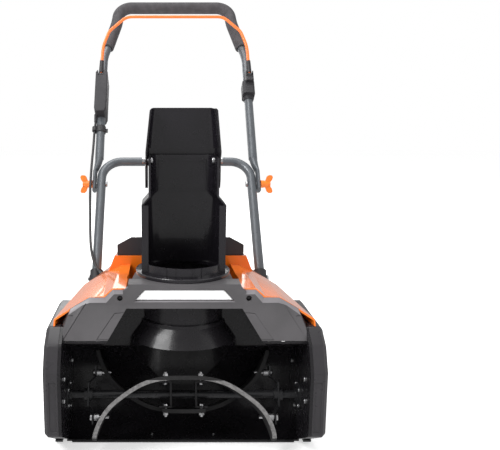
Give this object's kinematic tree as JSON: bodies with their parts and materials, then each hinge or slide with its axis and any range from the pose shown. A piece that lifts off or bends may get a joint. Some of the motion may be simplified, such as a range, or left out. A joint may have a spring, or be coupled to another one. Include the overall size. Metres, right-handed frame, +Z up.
{
  "type": "snow blower",
  "caption": "Walk-behind cordless snow thrower with rubber paddle rotor, turning chute, folding handle and squeeze bail.",
  "frame": {"origin": "centre of the footprint of the whole machine on the ground, bounding box bottom centre", "axes": "+Z up; -Y is ahead, the way the scoop faces; +Y back towards the user; +X to the right when seen from the front"},
  "size_m": [0.548, 1.0628, 1.0292],
  "materials": {
    "black_shell": "glossy injection-moulded black shell",
    "grey_panel": "satin mid-grey moulded panel, fine texture",
    "orange_cover": "glossy orange moulded cover",
    "black_chute": "glossy black chute plastic",
    "lid_black": "satin black lid",
    "tray_black": "textured black undertray",
    "blue_grey_tube": "powder-coated blue-grey steel tube",
    "foam_grip": "closed-cell foam sleeve",
    "orange_paint": "orange powder coat on steel rod",
    "orange_knob": "satin orange nylon",
    "box_plastic": "textured dark grey plastic",
    "paddle_rubber": "fibre-filled moulded rubber, worn edge",
    "tyre_rubber": "semi-pneumatic rubber tyre",
    "wheel_plastic": "moulded wheel hub",
    "zinc_steel": "bright zinc-plated steel",
    "shaft_steel": "plain steel bar",
    "black_steel": "black painted steel bar",
    "lens_white": "opal lamp lens",
    "board_green": "circuit board",
    "battery_case": "battery case",
    "cable_black": "black cable jacket",
    "belt_rubber": "ribbed drive belt",
    "pulley_alloy": "cast pulley",
    "skid_plastic": "wear plastic"
  },
  "bodies": {
    "chassis": {"auger_housing": "black_shell", "front_visor": "grey_panel", "left_side_cover": "grey_panel", "right_side_cover": "grey_panel", "scraper_bar": "skid_plastic", "scraper_screws": "zinc_steel", "left_skid": "skid_plastic", "right_skid": "skid_plastic", "lamp_lens": "lens_white", "lamp_board": "board_green", "left_cowl": "orange_cover", "right_cowl": "orange_cover", "cowl_screws": "zinc_steel", "rear_hood": "orange_cover", "base_tray": "tray_black", "battery_bay": "tray_black", "battery_pack": "battery_case", "lid_hinge_pins": "shaft_steel", "control_board": "board_green", "motor_can": "shaft_steel", "drive_belt": "belt_rubber", "shaft_bearings": "zinc_steel", "bearing_screws": "zinc_steel", "wheel_axle": "shaft_steel", "wheel_caps": "wheel_plastic", "lower_handle": "blue_grey_tube", "left_handle_clamp": "box_plastic", "right_handle_clamp": "box_plastic", "clamp_bolts": "zinc_steel", "cable": "cable_black", "cable_gland": "cable_black", "knob_bolts": "zinc_steel"},
    "battery_lid": {"battery_lid": "lid_black"},
    "auger": {"auger_shaft": "black_steel", "auger_bracket": "black_steel", "front_paddle": "paddle_rubber", "rear_paddle": "paddle_rubber", "left_end_arm": "zinc_steel", "right_end_arm": "zinc_steel", "paddle_bolts": "zinc_steel", "auger_pulley": "pulley_alloy"},
    "motor_rotor": {"motor_shaft": "shaft_steel", "motor_pulley": "pulley_alloy"},
    "left_wheel": {"left_wheel_hub": "wheel_plastic", "left_tyre": "tyre_rubber"},
    "right_wheel": {"right_wheel_hub": "wheel_plastic", "right_tyre": "tyre_rubber"},
    "chute": {"chute": "black_chute", "deflector_bolts": "zinc_steel"},
    "deflector": {"chute_deflector": "black_chute"},
    "upper_handle": {"upper_handle": "blue_grey_tube", "handle_grip": "foam_grip", "switch_box": "box_plastic", "pivot_bracket": "box_plastic", "cable_clip": "cable_black"},
    "bail": {"bail": "orange_paint", "bail_sleeves": "cable_black"},
    "start_button": {"start_button": "orange_knob"},
    "left_knob": {"left_wing_knob": "orange_knob"},
    "right_knob": {"right_wing_knob": "orange_knob"}
  },
  "joints": [
    {"name": "auger_spin", "type": "hinge", "parent": "chassis", "child": "auger", "pos_m": [0, -0.4334, 0.104], "axis": [1, 0, 0], "continuous": true},
    {"name": "motor_spin", "type": "hinge", "parent": "chassis", "child": "motor_rotor", "pos_m": [0, -0.3484, 0.236], "axis": [1, 0, 0], "continuous": true},
    {"name": "left_wheel_spin", "type": "hinge", "parent": "chassis", "child": "left_wheel", "pos_m": [0, -0.1034, 0.09], "axis": [1, 0, 0], "continuous": true},
    {"name": "right_wheel_spin", "type": "hinge", "parent": "chassis", "child": "right_wheel", "pos_m": [0, -0.1034, 0.09], "axis": [1, 0, 0], "continuous": true},
    {"name": "chute_turn", "type": "hinge", "parent": "chassis", "child": "chute", "pos_m": [0, -0.3534, 0.346], "axis": [0, 0, 1], "range_deg": [-95, 95]},
    {"name": "deflector_tilt", "type": "hinge", "parent": "chute", "child": "deflector", "pos_m": [0, -0.3034, 0.578], "axis": [1, 0, 0], "range_deg": [0, 33]},
    {"name": "handle_fold", "type": "hinge", "parent": "chassis", "child": "upper_handle", "pos_m": [0, 0.1216, 0.478], "axis": [1, 0, 0], "range_deg": [0, 95], "deforming": ["cable"]},
    {"name": "bail_squeeze", "type": "hinge", "parent": "upper_handle", "child": "bail", "pos_m": [0, 0.31533, 0.78734], "axis": [-1, 0, 0], "range_deg": [0, 11.7], "stiffness_Nm_per_rad": 2, "springref_deg": -20.05},
    {"name": "start_button_press", "type": "slide", "parent": "upper_handle", "child": "start_button", "axis": [0, -0.8059, 0.592], "range_m": [0, 0.004], "stiffness_N_per_m": 300, "springref_m": -0.004},
    {"name": "left_knob_turn", "type": "hinge", "parent": "chassis", "child": "left_knob", "pos_m": [0, 0.1216, 0.478], "axis": [1, 0, 0], "continuous": true},
    {"name": "right_knob_turn", "type": "hinge", "parent": "chassis", "child": "right_knob", "pos_m": [0, 0.1216, 0.478], "axis": [1, 0, 0], "continuous": true},
    {"name": "battery_lid_open", "type": "hinge", "parent": "chassis", "child": "battery_lid", "pos_m": [0, -0.0174, 0.334], "axis": [-1, 0, 0], "range_deg": [0, 75]}
  ],
  "couplings": [
    {"joint": "motor_spin", "follows": "auger_spin", "ratio": 4}
  ]
}
